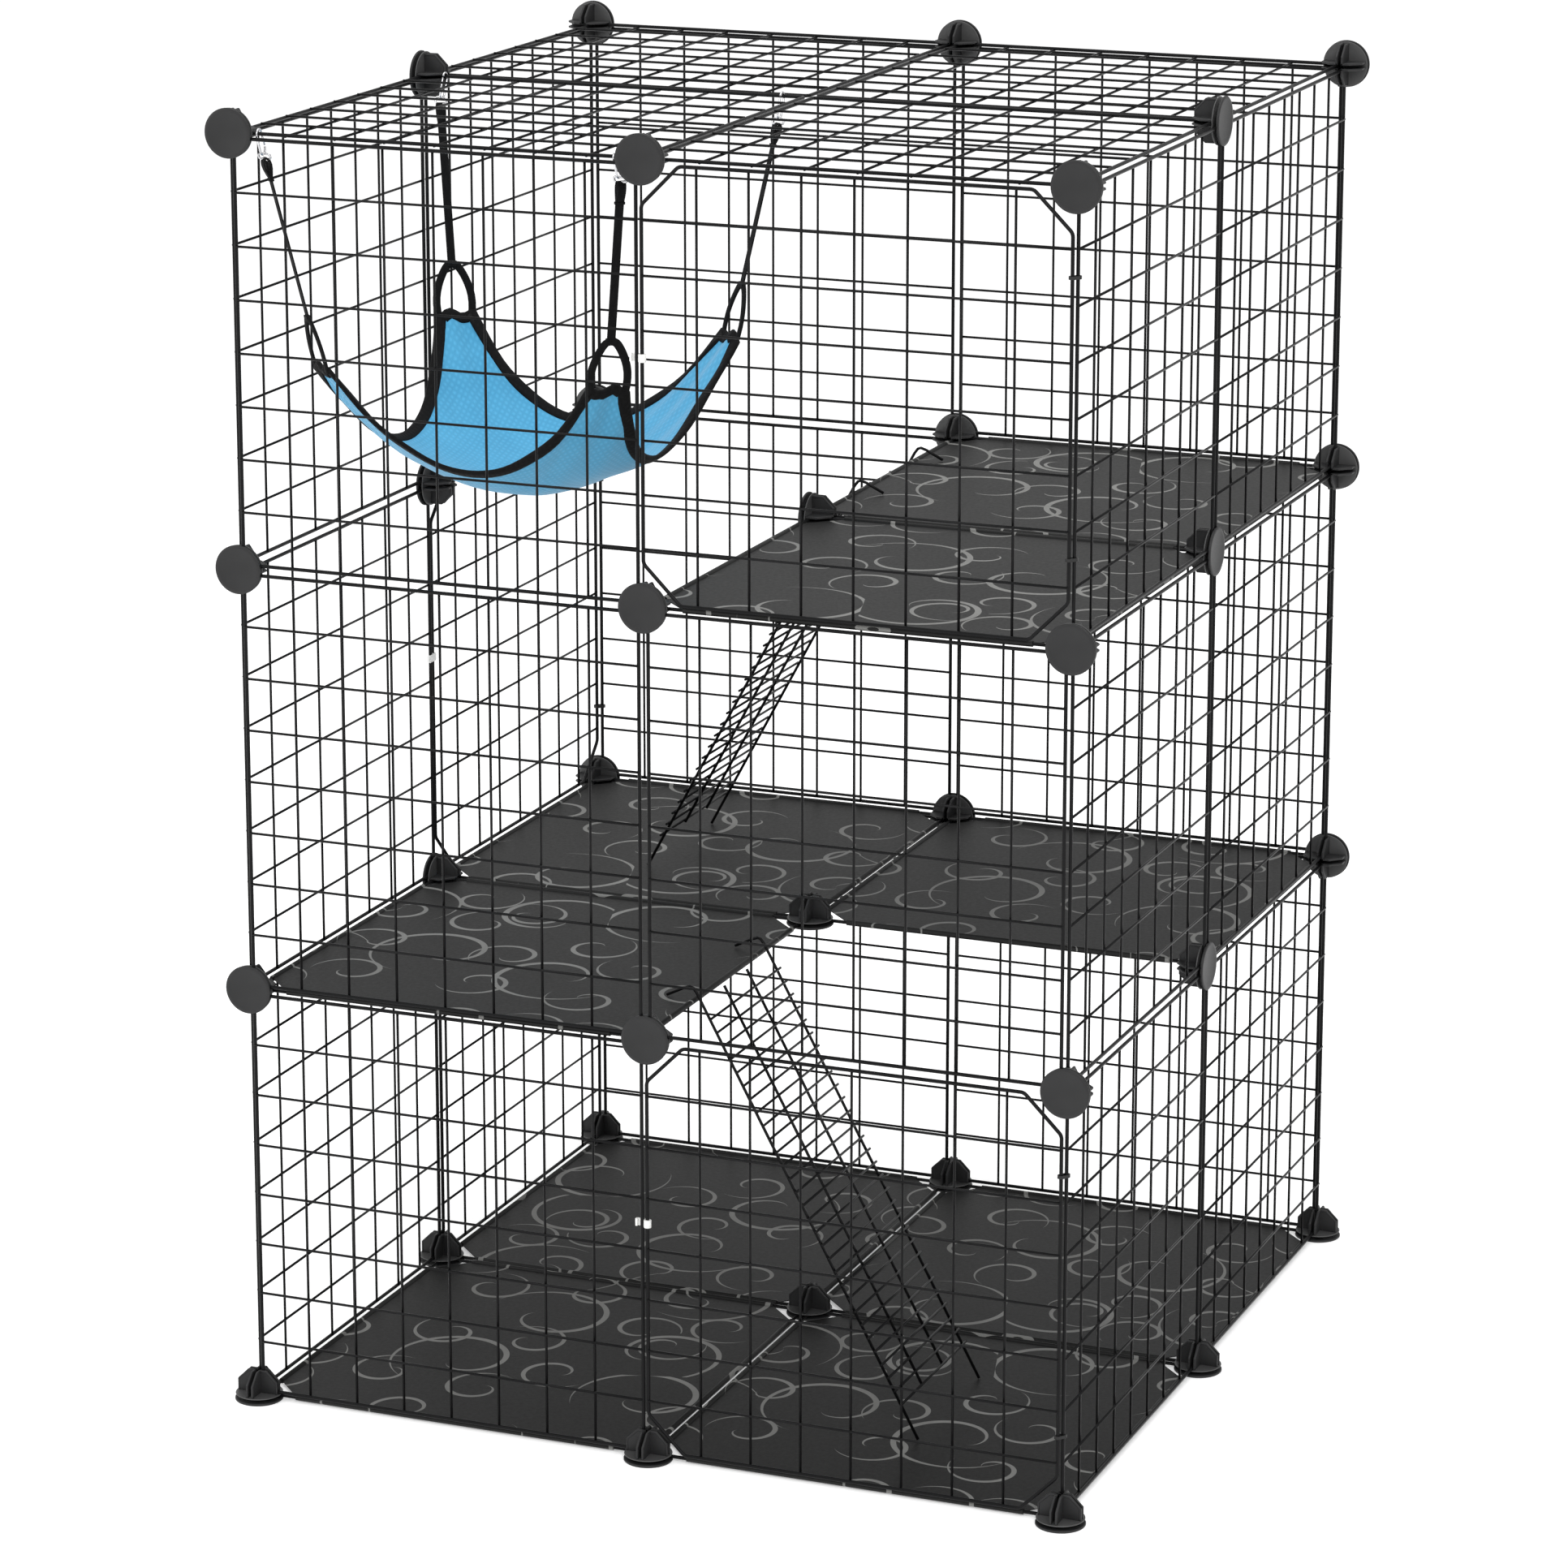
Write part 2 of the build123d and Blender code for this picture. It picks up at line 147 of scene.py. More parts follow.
def mesh_of(name, build, material):
    bm = bmesh.new()
    build(bm)
    bmesh.ops.recalc_face_normals(bm, faces=bm.faces)
    mesh = bpy.data.meshes.new(name)
    bm.to_mesh(mesh)
    bm.free()
    mesh.materials.append(material)
    return mesh


def piece(name, mesh, body, place=Matrix.Identity(4), nodes=(), bevel=0.0):
    obj = bpy.data.objects.new(name, mesh)
    bpy.context.scene.collection.objects.link(obj)
    obj.matrix_world = place
    if bevel:
        mod = obj.modifiers.new("edges", "BEVEL")
        mod.width = bevel
        mod.segments = 2
        mod.limit_method = "ANGLE"
        mod.angle_limit = math.radians(40)
    bpy.context.view_layer.update()
    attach(obj, body)
    if nodes:
        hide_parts(*nodes)
    return obj


def rounded(corners, radius, steps=5):
    """The corners of a closed flat outline, each turned through an arc."""
    points = []
    count = len(corners)
    for i, corner in enumerate(corners):
        corner = Vector(corner)
        before = (Vector(corners[i - 1]) - corner).normalized()
        after = (Vector(corners[(i + 1) % count]) - corner).normalized()
        half = before.angle(after) / 2
        reach = radius / math.tan(half)
        centre = corner + (before + after).normalized() * (radius / math.sin(half))
        start = corner + before * reach - centre
        end = corner + after * reach - centre
        for k in range(steps + 1):
            t = k / steps
            points.append(centre + (start * (1 - t) + end * t).normalized() * radius)
    return points


def square(width, height, cut=0.0):
    x, y = width / 2, height / 2
    if cut == 0:
        return [(-x, -y, 0), (x, -y, 0), (x, y, 0), (-x, y, 0)]
    return [
        (-x + cut, -y, 0), (x - cut, -y, 0), (x, -y + cut, 0), (x, y - cut, 0),
        (x - cut, y, 0), (-x + cut, y, 0), (-x, y - cut, 0), (-x, -y + cut, 0),
    ]


# Materials
class Nodes:
    """A small helper that adds shader nodes and links them."""

    def __init__(self, name):
        self.material = bpy.data.materials.new(name)
        self.material.use_nodes = True
        self.tree = self.material.node_tree
        self.shader = self.tree.nodes["Principled BSDF"]

    def add(self, kind, **values):
        node = self.tree.nodes.new(kind)
        for key, value in values.items():
            setattr(node, key, value)
        return node

    def join(self, source, target):
        self.tree.links.new(source, target)

    def math(self, operation, first, second=None, clamp=False):
        node = self.add("ShaderNodeMath", operation=operation, use_clamp=clamp)
        for index, value in enumerate((first, second)):
            if value is None:
                continue
            if isinstance(value, (int, float)):
                node.inputs[index].default_value = value
            else:
                self.join(value, node.inputs[index])
        return node.outputs[0]

    def noise(self, scale, detail=4.0):
        node = self.add("ShaderNodeTexNoise")
        node.inputs["Scale"].default_value = scale
        node.inputs["Detail"].default_value = detail
        self.join(self.coords(), node.inputs["Vector"])
        return node.outputs["Fac"]

    def coords(self):
        return self.add("ShaderNodeTexCoord").outputs["Object"]

    def mix(self, factor, first, second):
        node = self.add("ShaderNodeMix", data_type="RGBA")
        self.join(factor, node.inputs["Factor"])
        for socket, value in ((node.inputs[6], first), (node.inputs[7], second)):
            if isinstance(value, tuple):
                socket.default_value = (*value, 1.0)
            else:
                self.join(value, socket)
        return node.outputs[2]

    def spread(self, value, low, high):
        """value from 0..1 to low..high, into one number."""
        return self.math("ADD", self.math("MULTIPLY", value, high - low), low)

    def bump(self, height, distance, strength=1.0):
        node = self.add("ShaderNodeBump")
        node.inputs["Distance"].default_value = distance
        node.inputs["Strength"].default_value = strength
        self.join(height, node.inputs["Height"])
        self.join(node.outputs["Normal"], self.shader.inputs["Normal"])


def coated_wire():
    n = Nodes("coated wire")
    fine = n.noise(900)
    coarse = n.noise(30)
    n.join(n.mix(coarse, (0.003, 0.003, 0.0033), (0.008, 0.008, 0.0084)), n.shader.inputs["Base Color"])
    n.join(n.spread(fine, 0.26, 0.42), n.shader.inputs["Roughness"])
    n.bump(fine, 0.0001, 0.4)
    n.shader.inputs["Specular IOR Level"].default_value = 0.12
    return n.material


def moulded_plastic(name, dark, light, low, high, shine):
    n = Nodes(name)
    coarse = n.noise(45)
    grain = n.noise(2200, 2.0)
    n.join(n.mix(coarse, dark, light), n.shader.inputs["Base Color"])
    n.join(n.spread(grain, low, high), n.shader.inputs["Roughness"])
    n.bump(grain, 0.0001, 0.35)
    n.shader.inputs["Specular IOR Level"].default_value = shine
    return n.material


def curl_layer(n, coords, scale, seed, inner, outer, width):
    """One layer of drawn curls: a spiral stroke in each cell of a scattered pattern."""
    shift = n.add("ShaderNodeVectorMath", operation="ADD")
    n.join(coords, shift.inputs[0])
    shift.inputs[1].default_value = (seed, seed * 0.7, 0)
    cell = n.add("ShaderNodeTexVoronoi", voronoi_dimensions="2D", feature="F1")
    cell.inputs["Scale"].default_value = scale
    cell.inputs["Randomness"].default_value = 0.85
    n.join(shift.outputs[0], cell.inputs["Vector"])
    local = n.add("ShaderNodeVectorMath", operation="SUBTRACT")
    n.join(shift.outputs[0], local.inputs[0])
    n.join(cell.outputs["Position"], local.inputs[1])
    parts = n.add("ShaderNodeSeparateXYZ")
    n.join(local.outputs[0], parts.inputs[0])
    random = n.add("ShaderNodeSeparateColor")
    n.join(cell.outputs["Color"], random.inputs[0])
    hand = n.math("SIGN", n.math("SUBTRACT", random.outputs[1], 0.5))
    x = n.math("MULTIPLY", parts.outputs[0], hand)
    angle = n.math("DIVIDE", n.math("ARCTAN2", parts.outputs[1], x), 2 * math.pi)
    turn = n.math("FRACT", n.math("ADD", n.math("ADD", angle, random.outputs[0]), 1.0))
    squared = n.math("ADD", n.math("POWER", parts.outputs[0], 2.0), n.math("POWER", parts.outputs[1], 2.0))
    radius = n.math("SQRT", squared)
    reach = n.math("ADD", n.math("MULTIPLY", n.math("POWER", turn, 0.7), outer - inner), inner)
    away = n.math("ABSOLUTE", n.math("SUBTRACT", radius, reach))
    taper = n.math("MULTIPLY", n.math("SINE", n.math("MULTIPLY", turn, math.pi)), width)
    return n.math("LESS_THAN", away, taper)


def printed_sheet():
    n = Nodes("printed sheet")
    coords = n.coords()
    layers = [(6.0, 3.1, 0.014, 0.062, 0.0027), (11.0, 7.7, 0.006, 0.034, 0.0022)]
    stroke = None
    for scale, seed, inner, outer, width in layers:
        one = curl_layer(n, coords, scale, seed, inner, outer, width)
        stroke = one if stroke is None else n.math("MAXIMUM", stroke, one)
    cloud = n.noise(12)
    ground = n.mix(cloud, (0.008, 0.008, 0.008), (0.014, 0.014, 0.0135))
    line = n.mix(cloud, (0.13, 0.13, 0.125), (0.25, 0.25, 0.24))
    n.join(n.mix(stroke, ground, line), n.shader.inputs["Base Color"])
    n.join(n.spread(n.noise(300), 0.42, 0.58), n.shader.inputs["Roughness"])
    n.shader.inputs["Specular IOR Level"].default_value = 0.20
    n.bump(n.noise(160), 0.0003, 0.25)
    return n.material


def woven(name, dark, light, threads, rough, sheen, shine):
    """Cloth of crossed threads; threads is how many there are in a metre."""
    n = Nodes(name)
    coords = n.coords()
    waves = []
    for direction in ("X", "Y"):
        wave = n.add("ShaderNodeTexWave", bands_direction=direction)
        wave.inputs["Scale"].default_value = threads / 20.0
        wave.inputs["Distortion"].default_value = 0.6
        wave.inputs["Detail"].default_value = 1.0
        n.join(coords, wave.inputs["Vector"])
        waves.append(wave.outputs["Fac"])
    weave = n.math("MULTIPLY", waves[0], waves[1])
    tone = n.math("ADD", n.math("MULTIPLY", n.noise(25), 0.6), n.math("MULTIPLY", weave, 0.4), clamp=True)
    n.join(n.mix(tone, dark, light), n.shader.inputs["Base Color"])
    n.join(n.spread(n.noise(600), rough - 0.08, rough + 0.08), n.shader.inputs["Roughness"])
    n.bump(weave, 0.0003, 0.6)
    n.shader.inputs["Sheen Weight"].default_value = sheen
    n.shader.inputs["Specular IOR Level"].default_value = shine
    return n.material


def plated_metal():
    n = Nodes("plated metal")
    n.join(n.mix(n.noise(80), (0.52, 0.52, 0.53), (0.78, 0.78, 0.80)), n.shader.inputs["Base Color"])
    n.join(n.spread(n.noise(500), 0.16, 0.32), n.shader.inputs["Roughness"])
    n.shader.inputs["Metallic"].default_value = 1.0
    n.bump(n.noise(1500), 0.00005, 0.3)
    return n.material


WIRE = coated_wire()
CONNECTOR = moulded_plastic(
    "connector plastic", (0.015, 0.015, 0.0155), (0.025, 0.025, 0.0255), 0.40, 0.56, 0.25
)
# The inner disc's thin rim by the slot is the same black plastic as the connector, given a lighter, shinier
# copy as a painted highlight along the slot's edge.
RIM_HIGHLIGHT = moulded_plastic("disc rim painted highlight", (0.045, 0.045, 0.045), (0.075, 0.075, 0.075), 0.34, 0.50, 0.40)
LATCH = moulded_plastic("latch plastic", (0.72, 0.72, 0.70), (0.84, 0.84, 0.82), 0.26, 0.40, 0.50)
TIE = moulded_plastic("tie plastic", (0.012, 0.012, 0.012), (0.022, 0.022, 0.022), 0.42, 0.58, 0.25)
SHEET = printed_sheet()
CLOTH = woven("blue cloth", (0.040, 0.270, 0.480), (0.100, 0.440, 0.700), 1500, 0.75, 0.25, 0.30)
BINDING = woven("black binding", (0.002, 0.002, 0.0022), (0.007, 0.007, 0.0074), 1400, 0.80, 0.02, 0.12)
METAL = plated_metal()


# Wire panels, doors and shelf frames
def panel_mesh(width, cut):
    def build(bm):
        radius = PANEL_BEND if cut == 0 else DOOR_BEND
        tube(bm, rounded(square(width, PANEL_SIDE, cut), radius), FRAME_WIRE / 2, closed=True, up=(0, 0, 1))
        half = GRID_WIRE / 2
        for index in range(1, CELLS):
            at = (index - CELLS / 2) * CELL
            x = width / 2
            y = PANEL_SIDE / 2
            tube(bm, [(-x, at, half), (x, at, half)], half, sides=10)
            tube(bm, [(at, -y, -half), (at, y, -half)], half, sides=10)
    return mesh_of("wire panel" if cut == 0 else "wire door", build, WIRE)


def wall_place(side, position, z):
    """Matrix of a wall panel: local z outwards, y up."""
    axes = {
        "front": ((1, 0, 0), (0, -1, 0), (position, -BAY, z)),
        "rear": ((-1, 0, 0), (0, 1, 0), (position, BAY, z)),
        "left": ((0, -1, 0), (-1, 0, 0), (-BAY, position, z)),
        "right": ((0, 1, 0), (1, 0, 0), (BAY, position, z)),
    }
    x, out, origin = axes[side]
    return place_of(origin, x, out)


def place_of(origin, x_dir, z_dir):
    z = Vector(z_dir).normalized()
    x = Vector(x_dir).normalized()
    y = z.cross(x)
    matrix = Matrix((x, y, z)).transposed().to_4x4()
    matrix.translation = Vector(origin)
    return matrix


def dress_walls():
    normal = panel_mesh(PANEL_SIDE, 0)
    door = panel_mesh(PANEL_SIDE + DOOR_OVERLAP + DOOR_REACH, DOOR_CUT)
    for side in ("front", "rear", "left", "right"):
        along = BAY_X if side in ("front", "rear") else BAY_Y
        names = SIDES if side in ("front", "rear") else DEPTHS
        for index, position in enumerate(along):
            for storey in range(3):
                body = DOORS.get((side, index, storey))
                shift = (DOOR_REACH - DOOR_OVERLAP) / 2 if body else 0
                local = wall_place(side, position + shift, level(storey) + BAY / 2)
                kind = "door" if body else "panel"
                node = f"{side}_{names[index]}_{STOREYS[storey]}_{kind}"
                piece("wire_" + node, door if body else normal, body or "cage", local, [node])
    for x, side in zip(BAY_X, SIDES):
        for y, depth in zip(BAY_Y, DEPTHS):
            node = f"roof_{depth}_{side}_panel"
            piece("wire_" + node, normal, "cage", Matrix.Translation((x, y, level(3))), [node])


def dress_shelves():
    def frame_build(bm):
        outline = rounded(square(PANEL_SIDE, PANEL_SIDE), PANEL_BEND)
        tube(bm, outline, FRAME_WIRE / 2, closed=True, up=(0, 0, 1))

    def sheet_build(bm):
        side = PANEL_SIDE - FRAME_WIRE
        prism(bm, [(x, y) for x, y, z in square(side, side, SHEET_CUT - HEM)], SHEET_THICK)
        reach = PANEL_SIDE / 2 - SHEET_CUT
        for turn in range(4):
            spin = Matrix.Rotation(math.pi / 2 * turn, 4, "Z")
            ends = [spin @ Vector((s * reach, PANEL_SIDE / 2, 0)) for s in (-1, 1)]
            tube(bm, ends, HEM, sides=16)

    frame_mesh = mesh_of("shelf frame", frame_build, WIRE)
    sheet_mesh = mesh_of("shelf sheet", sheet_build, SHEET)
    for index, bays in SHELF_BAYS.items():
        for i, j in bays:
            local = Matrix.Translation((BAY_X[i], BAY_Y[j], level(index)))
            tile = f"{LEVELS[index]}_{DEPTHS[j]}_{SIDES[i]}"
            frames = LEVELS[index] + "_frames"
            piece(tile + "_frame", frame_mesh, "cage", local, [frames])
            turned = local @ Matrix.Rotation(math.pi / 2 * (i + 2 * j + index), 4, "Z")
            piece(tile + "_plate", sheet_mesh, "cage", turned, [tile + "_sheet"], FINE_BEVEL)


# Round connectors
DISC_R = 0.020
DISC_THICK = 0.002
DISC_EDGE = 0.0005
DISC_RIM = 0.0030
DISC_SLOPE = 0.0006
DISC_DISH = 0.0002
DISC_MIDDLE = 0.001
INNER_R = 0.0195
INNER_EDGE = 0.0003
HUB_HALF = 0.0022
FIN_REACH = 0.018
FIN_TOP = 0.0085
FIN_HEIGHT = 0.0195
FIN_WALL = 0.0015
FIN_START = DISC_GAP / 2 + 0.0009
FIN_NEAR = 0.0016
FIN_BEAD = 0.0011


def connector_meshes():
    gap = DISC_GAP / 2
    shoulder = FIN_HEIGHT - (FIN_REACH - FIN_TOP)

    def outer(bm):
        top = gap + DISC_THICK
        lathe(bm, [
            (DISC_R - DISC_EDGE, gap),
            (DISC_R, gap + DISC_EDGE),
            (DISC_R, top - DISC_EDGE),
            (DISC_R - DISC_EDGE, top),
            (DISC_R - DISC_RIM, top),
            (DISC_R - DISC_RIM - DISC_SLOPE, top - DISC_DISH),
            (DISC_MIDDLE, top - DISC_DISH),
        ])

    def inner(bm):
        lathe(bm, [
            (INNER_R - INNER_EDGE, -FIN_START),
            (INNER_R, -FIN_START + INNER_EDGE),
            (INNER_R, -gap - INNER_EDGE),
            (INNER_R - INNER_EDGE, -gap),
        ])

    def fins(bm):
        outline = [
            (FIN_NEAR, 0),
            (FIN_REACH, 0),
            (FIN_REACH, -shoulder),
            (FIN_TOP, -FIN_HEIGHT),
            (FIN_NEAR, -FIN_HEIGHT),
        ]
        side = FIN_REACH - FIN_BEAD
        top = FIN_BEAD - FIN_HEIGHT
        bead = [(side, 0, 0), (side, -shoulder, 0), (FIN_TOP - FIN_BEAD / 2, top, 0), (FIN_NEAR, top, 0)]
        middle = FIN_NEAR + FIN_WALL / 2
        for turn in range(4):
            spin = Matrix.Rotation(math.pi / 2 * turn, 4, "Z")
            for flip in (1, -1):
                upright = Matrix(((1, 0, 0), (0, 0, 1), (0, 1, 0))).to_4x4()
                swap = Matrix(((0, 1, 0), (1, 0, 0), (0, 0, 1))).to_4x4() if flip < 0 else Matrix.Identity(4)
                local = spin @ swap @ Matrix.Translation((0, middle, -FIN_START)) @ upright
                prism(bm, outline, FIN_WALL, local)
                tube(bm, [local @ Vector(p) for p in bead], FIN_BEAD, sides=8)

    def hub(bm):
        prism(bm, [(x, y) for x, y, z in square(2 * HUB_HALF, 2 * HUB_HALF)], DISC_GAP)

    return [
        ("disc", mesh_of("connector disc", outer, CONNECTOR), 0.0),
        # The inner disc's rim takes the painted highlight material.
        ("rim", mesh_of("connector inner disc", inner, RIM_HIGHLIGHT), 0.0),
        ("fins", mesh_of("connector fins", fins, CONNECTOR), FINE_BEVEL),
        ("hub", mesh_of("connector hub", hub, CONNECTOR), FINE_BEVEL),
    ]


def disc_direction(i, j, index):
    if index == 0:
        return (0, 0, -1)
    if j == 0:
        return (0, -1, 0)
    if j == 2:
        return (0, 1, 0)
    if i == 0:
        return (-1, 0, 0)
    if i == 2:
        return (1, 0, 0)
    return {1: (0, 0, -1), 2: (-1, 0, 0)}.get(index)


def dress_connectors():
    meshes = connector_meshes()
    for index in range(4):
        for i, x in enumerate(COLUMNS):
            for j, y in enumerate(COLUMNS):
                facing = disc_direction(i, j, index)
                if facing is None:
                    continue
                across = (0, 1, 0) if facing[1] == 0 else (1, 0, 0)
                local = place_of((x, y, level(index)), across, facing)
                for part, mesh, bevel in meshes:
                    name = f"connector_{LEVELS[index]}_{i}{j}_{part}"
                    node = LEVELS[index] + "_connectors"
                    piece(name, mesh, "cage", local, [node], bevel)


# Ramps
RAMP_RUN = 0.190
RAMP_HALF = 0.072
RAIL = 0.0025
RUNG = 0.0021
RUNG_PITCH = 0.012
RUNG_OVERHANG = 0.002
RUNG_SINK = 0.0002
RAMP_LEG = 0.032
RAMP_PEAK = 0.013
RAMP_HOOK = 0.024
RAMP_BEND = 0.004
LOWER_RAMP_Y = -0.170
UPPER_RAMP_Y = 0.168
SEAT = 0.0003


def ramp_mesh(direction):
    slope = math.atan2(BAY, RAMP_RUN)
    half = RAIL / 2
    stand_off = HEM + (half + SEAT) / math.sin(slope) + HEM / math.tan(slope)
    foot_z = -BAY + SHEET_THICK / 2 + SEAT + half * math.cos(slope)
    foot = Vector((stand_off - foot_z / math.tan(slope), 0, foot_z))
    peak = Vector((stand_off - RAMP_PEAK / math.tan(slope), 0, RAMP_PEAK))
    tip = Vector((-RAMP_HOOK, 0, SHEET_THICK / 2 + SEAT + half))
    down = Vector((math.cos(slope), 0, -math.sin(slope)))
    out = Vector((math.sin(slope), 0, math.cos(slope)))
    start = Vector((stand_off, 0, 0)) + down * half
    last = (foot - start).length - RAMP_LEG
    count = int((last - RUNG_PITCH) / RUNG_PITCH) + 1
    first = last - (count - 1) * RUNG_PITCH

    def build(bm):
        before = (foot - peak).normalized() * RAMP_BEND
        after = (tip - peak).normalized() * RAMP_BEND
        turn = [
            peak + before * 2,
            peak + before * 0.7 + after * 0.2,
            peak + before * 0.2 + after * 0.7,
            peak + after * 2,
        ]
        for y in (-RAMP_HALF, RAMP_HALF):
            aside = Vector((0, y, 0))
            tube(bm, [p + aside for p in [foot] + turn + [tip]], half, sides=12)
        for y in (-RAMP_HALF / 3, RAMP_HALF / 3):
            aside = Vector((0, y, 0))
            tube(bm, [start + aside, start + down * last + aside], half, sides=12)
        reach = RAMP_HALF + half + RUNG_OVERHANG
        for index in range(count):
            at = start + down * (first + index * RUNG_PITCH) + out * (half + RUNG / 2 - RUNG_SINK)
            tube(bm, [at + Vector((0, -reach, 0)), at + Vector((0, reach, 0))], RUNG / 2, sides=10)
        if direction < 0:
            bmesh.ops.transform(bm, matrix=Matrix.Scale(-1, 4, (1, 0, 0)), verts=bm.verts)
    return mesh_of("ramp", build, WIRE)


def dress_ramps():
    ramps = [("lower_ramp", 1, LOWER_RAMP_Y), ("upper_ramp", -1, UPPER_RAMP_Y)]
    for storey, (node, direction, y) in enumerate(ramps, start=1):
        local = Matrix.Translation((-direction * PANEL_EDGE, y, level(storey)))
        piece(node + "_wires", ramp_mesh(direction), node, local, [node])


# Hammock
HALF = 0.160
WAIST = 0.045
CUT = 1 - 0.048 / HALF
BELLY_DROP = 0.305
EDGE_RISE = 0.036
CORNER_RISE = 0.193
CLOTH_THICK = 0.0016
CLOTH_GRID = 56
CLOTH_WELD = 0.00002
FOLD_HEIGHT = 0.004
FOLD_RATE = 16
RIPPLE_HEIGHT = 0.004
RIPPLE_RATE = 2.2
SIDE_STEPS = 30
CUT_STEPS = 8
BINDING_SIDES = 12
BINDING_HALF = 0.0053
BINDING_THICK = 0.0040
LOOP_BAND = 0.0070
LOOP_HEIGHT = 0.044
LOOP_HALF = 0.0145
LOOP_SINK = 0.002
LOOP_STEPS = 24
STRAP_WIDTH = 0.007
STRAP_TAPE = 0.0012
STRAP_GAP = 0.0006
STRAP_STEPS = 12
TURN_BACK = 0.016
TURN_LENGTH = 0.018
TURN_BULGE = 0.0030
HOOK_WIRE = 0.0018
HOOK_TILT = math.radians(25)
HOOK_WIDTH = 0.010
HOOK_LENGTH = 0.024
HOOK_GAP = 0.0002
EYE_HEIGHT = 0.0065
EYE_WIDTH = 0.012
GATE_LENGTH = 0.011
GATE_RADIUS = HOOK_WIRE * 0.42
ANCHOR_INSET = 0.019


def cloth_point(u, v):
    x = BAY_X[0] + u * (HALF - WAIST * (1 - v * v))
    y = BAY_Y[0] + v * (HALF - WAIST * (1 - u * u))
    rise = EDGE_RISE * (u * u + v * v) + (CORNER_RISE - 2 * EDGE_RISE) * u * u * v * v
    return Vector((x, y, level(3) - BELLY_DROP + rise))


def cloth_folds(u, v):
    """Soft folds that run in from the corners, and small ripples, as a height."""
    pull = (abs(u) * abs(v)) ** 1.5
    across = math.sin((abs(u) - abs(v)) * FOLD_RATE) * pull * FOLD_HEIGHT
    calm = 1 - max(abs(u), abs(v)) ** 4
    ripple = noise.noise(Vector((u * RIPPLE_RATE, v * RIPPLE_RATE, 4.0))) * RIPPLE_HEIGHT * calm
    return across + ripple


def cloth_mesh():
    def build(bm):
        grid = {}
        for i in range(CLOTH_GRID + 1):
            for j in range(CLOTH_GRID + 1):
                u = 2 * i / CLOTH_GRID - 1
                v = 2 * j / CLOTH_GRID - 1
                over = abs(u) + abs(v) - (1 + CUT)
                if over > 0:
                    u -= math.copysign(over / 2, u)
                    v -= math.copysign(over / 2, v)
                point = cloth_point(u, v)
                point.z += cloth_folds(u, v)
                grid[i, j] = bm.verts.new(point)
        for i in range(CLOTH_GRID):
            for j in range(CLOTH_GRID):
                corners = (grid[i, j], grid[i + 1, j], grid[i + 1, j + 1], grid[i, j + 1])
                bm.faces.new(corners).smooth = True
        bmesh.ops.remove_doubles(bm, verts=bm.verts, dist=CLOTH_WELD)
    return mesh_of("hammock cloth", build, CLOTH)


def outline_points():
    """Points round the cloth's edge, each with the direction into the cloth."""
    side = [(-CUT + 2 * CUT * k / SIDE_STEPS, -1) for k in range(SIDE_STEPS + 1)]
    for k in range(1, CUT_STEPS):
        along = (1 - CUT) * k / CUT_STEPS
        side.append((CUT + along, -1 + along))
    points = []
    for turn in range(4):
        c = round(math.cos(math.pi / 2 * turn))
        s = round(math.sin(math.pi / 2 * turn))
        for u, v in side:
            a = u * c - v * s
            b = u * s + v * c
            point = cloth_point(a, b)
            point.z += cloth_folds(a, b)
            inside = cloth_point(a * 0.94, b * 0.94)
            points.append((point, (inside - point).normalized()))
    return points


def binding_build(bm):
    """A folded tape over the cloth's edge, lying along the cloth."""
    rim = outline_points()
    count = len(rim)
    rings = []
    for i, (point, inward) in enumerate(rim):
        along = (rim[(i + 1) % count][0] - rim[i - 1][0]).normalized()
        wide = (inward - along * along.dot(inward)).normalized()
        thin = along.cross(wide)
        middle = point + wide * (BINDING_HALF - CLOTH_THICK / 2)
        ring = []
        for k in range(BINDING_SIDES):
            a = 2 * math.pi * k / BINDING_SIDES
            flat_side = math.copysign(abs(math.sin(a)) ** 0.4, math.sin(a)) * BINDING_THICK / 2
            ring.append(bm.verts.new(middle + wide * (BINDING_HALF * math.cos(a)) + thin * flat_side))
        rings.append(ring)
    for first, second in zip(rings, rings[1:] + rings[:1]):
        for k in range(BINDING_SIDES):
            n = (k + 1) % BINDING_SIDES
            bm.faces.new((first[k], first[n], second[n], second[k])).smooth = True


def corner_places():
    places = []
    for sy, depth in ((-1, "front"), (1, "rear")):
        for sx, side in ((-1, "left"), (1, "right")):
            corner = (cloth_point(sx * CUT, sy) + cloth_point(sx, sy * CUT)) / 2
            anchor_x = BAY_X[0] + sx * (PANEL_SIDE / 2 - ANCHOR_INSET)
            anchor = Vector((anchor_x, BAY_Y[0] + sy * PANEL_SIDE / 2, level(3)))
            places.append((f"{depth}_{side}", sx, sy, corner, anchor))
    return places


def hook_place(anchor, sy):
    up = Vector((0, sy * math.sin(HOOK_TILT), math.cos(HOOK_TILT)))
    inward = Vector((0, -sy * math.cos(HOOK_TILT), math.sin(HOOK_TILT)))
    seat = FRAME_WIRE / 2 + HOOK_GAP + HOOK_WIRE
    middle = anchor - up * (HOOK_LENGTH / 2 - seat) + inward * (HOOK_WIDTH / 2 - seat)
    return place_of(middle, inward, inward.cross(up))


def oval(width, height, steps=8):
    """Points of an upright oblong, over the top, down the left and round the bottom, open on the right."""
    radius = width / 2
    points = []
    for sign in (1, -1):
        for k in range(steps + 1):
            a = math.pi * k / steps + (0 if sign > 0 else math.pi)
            centre_y = sign * (height / 2 - radius)
            points.append(Vector((radius * math.cos(a), centre_y + radius * math.sin(a), 0)))
    return points


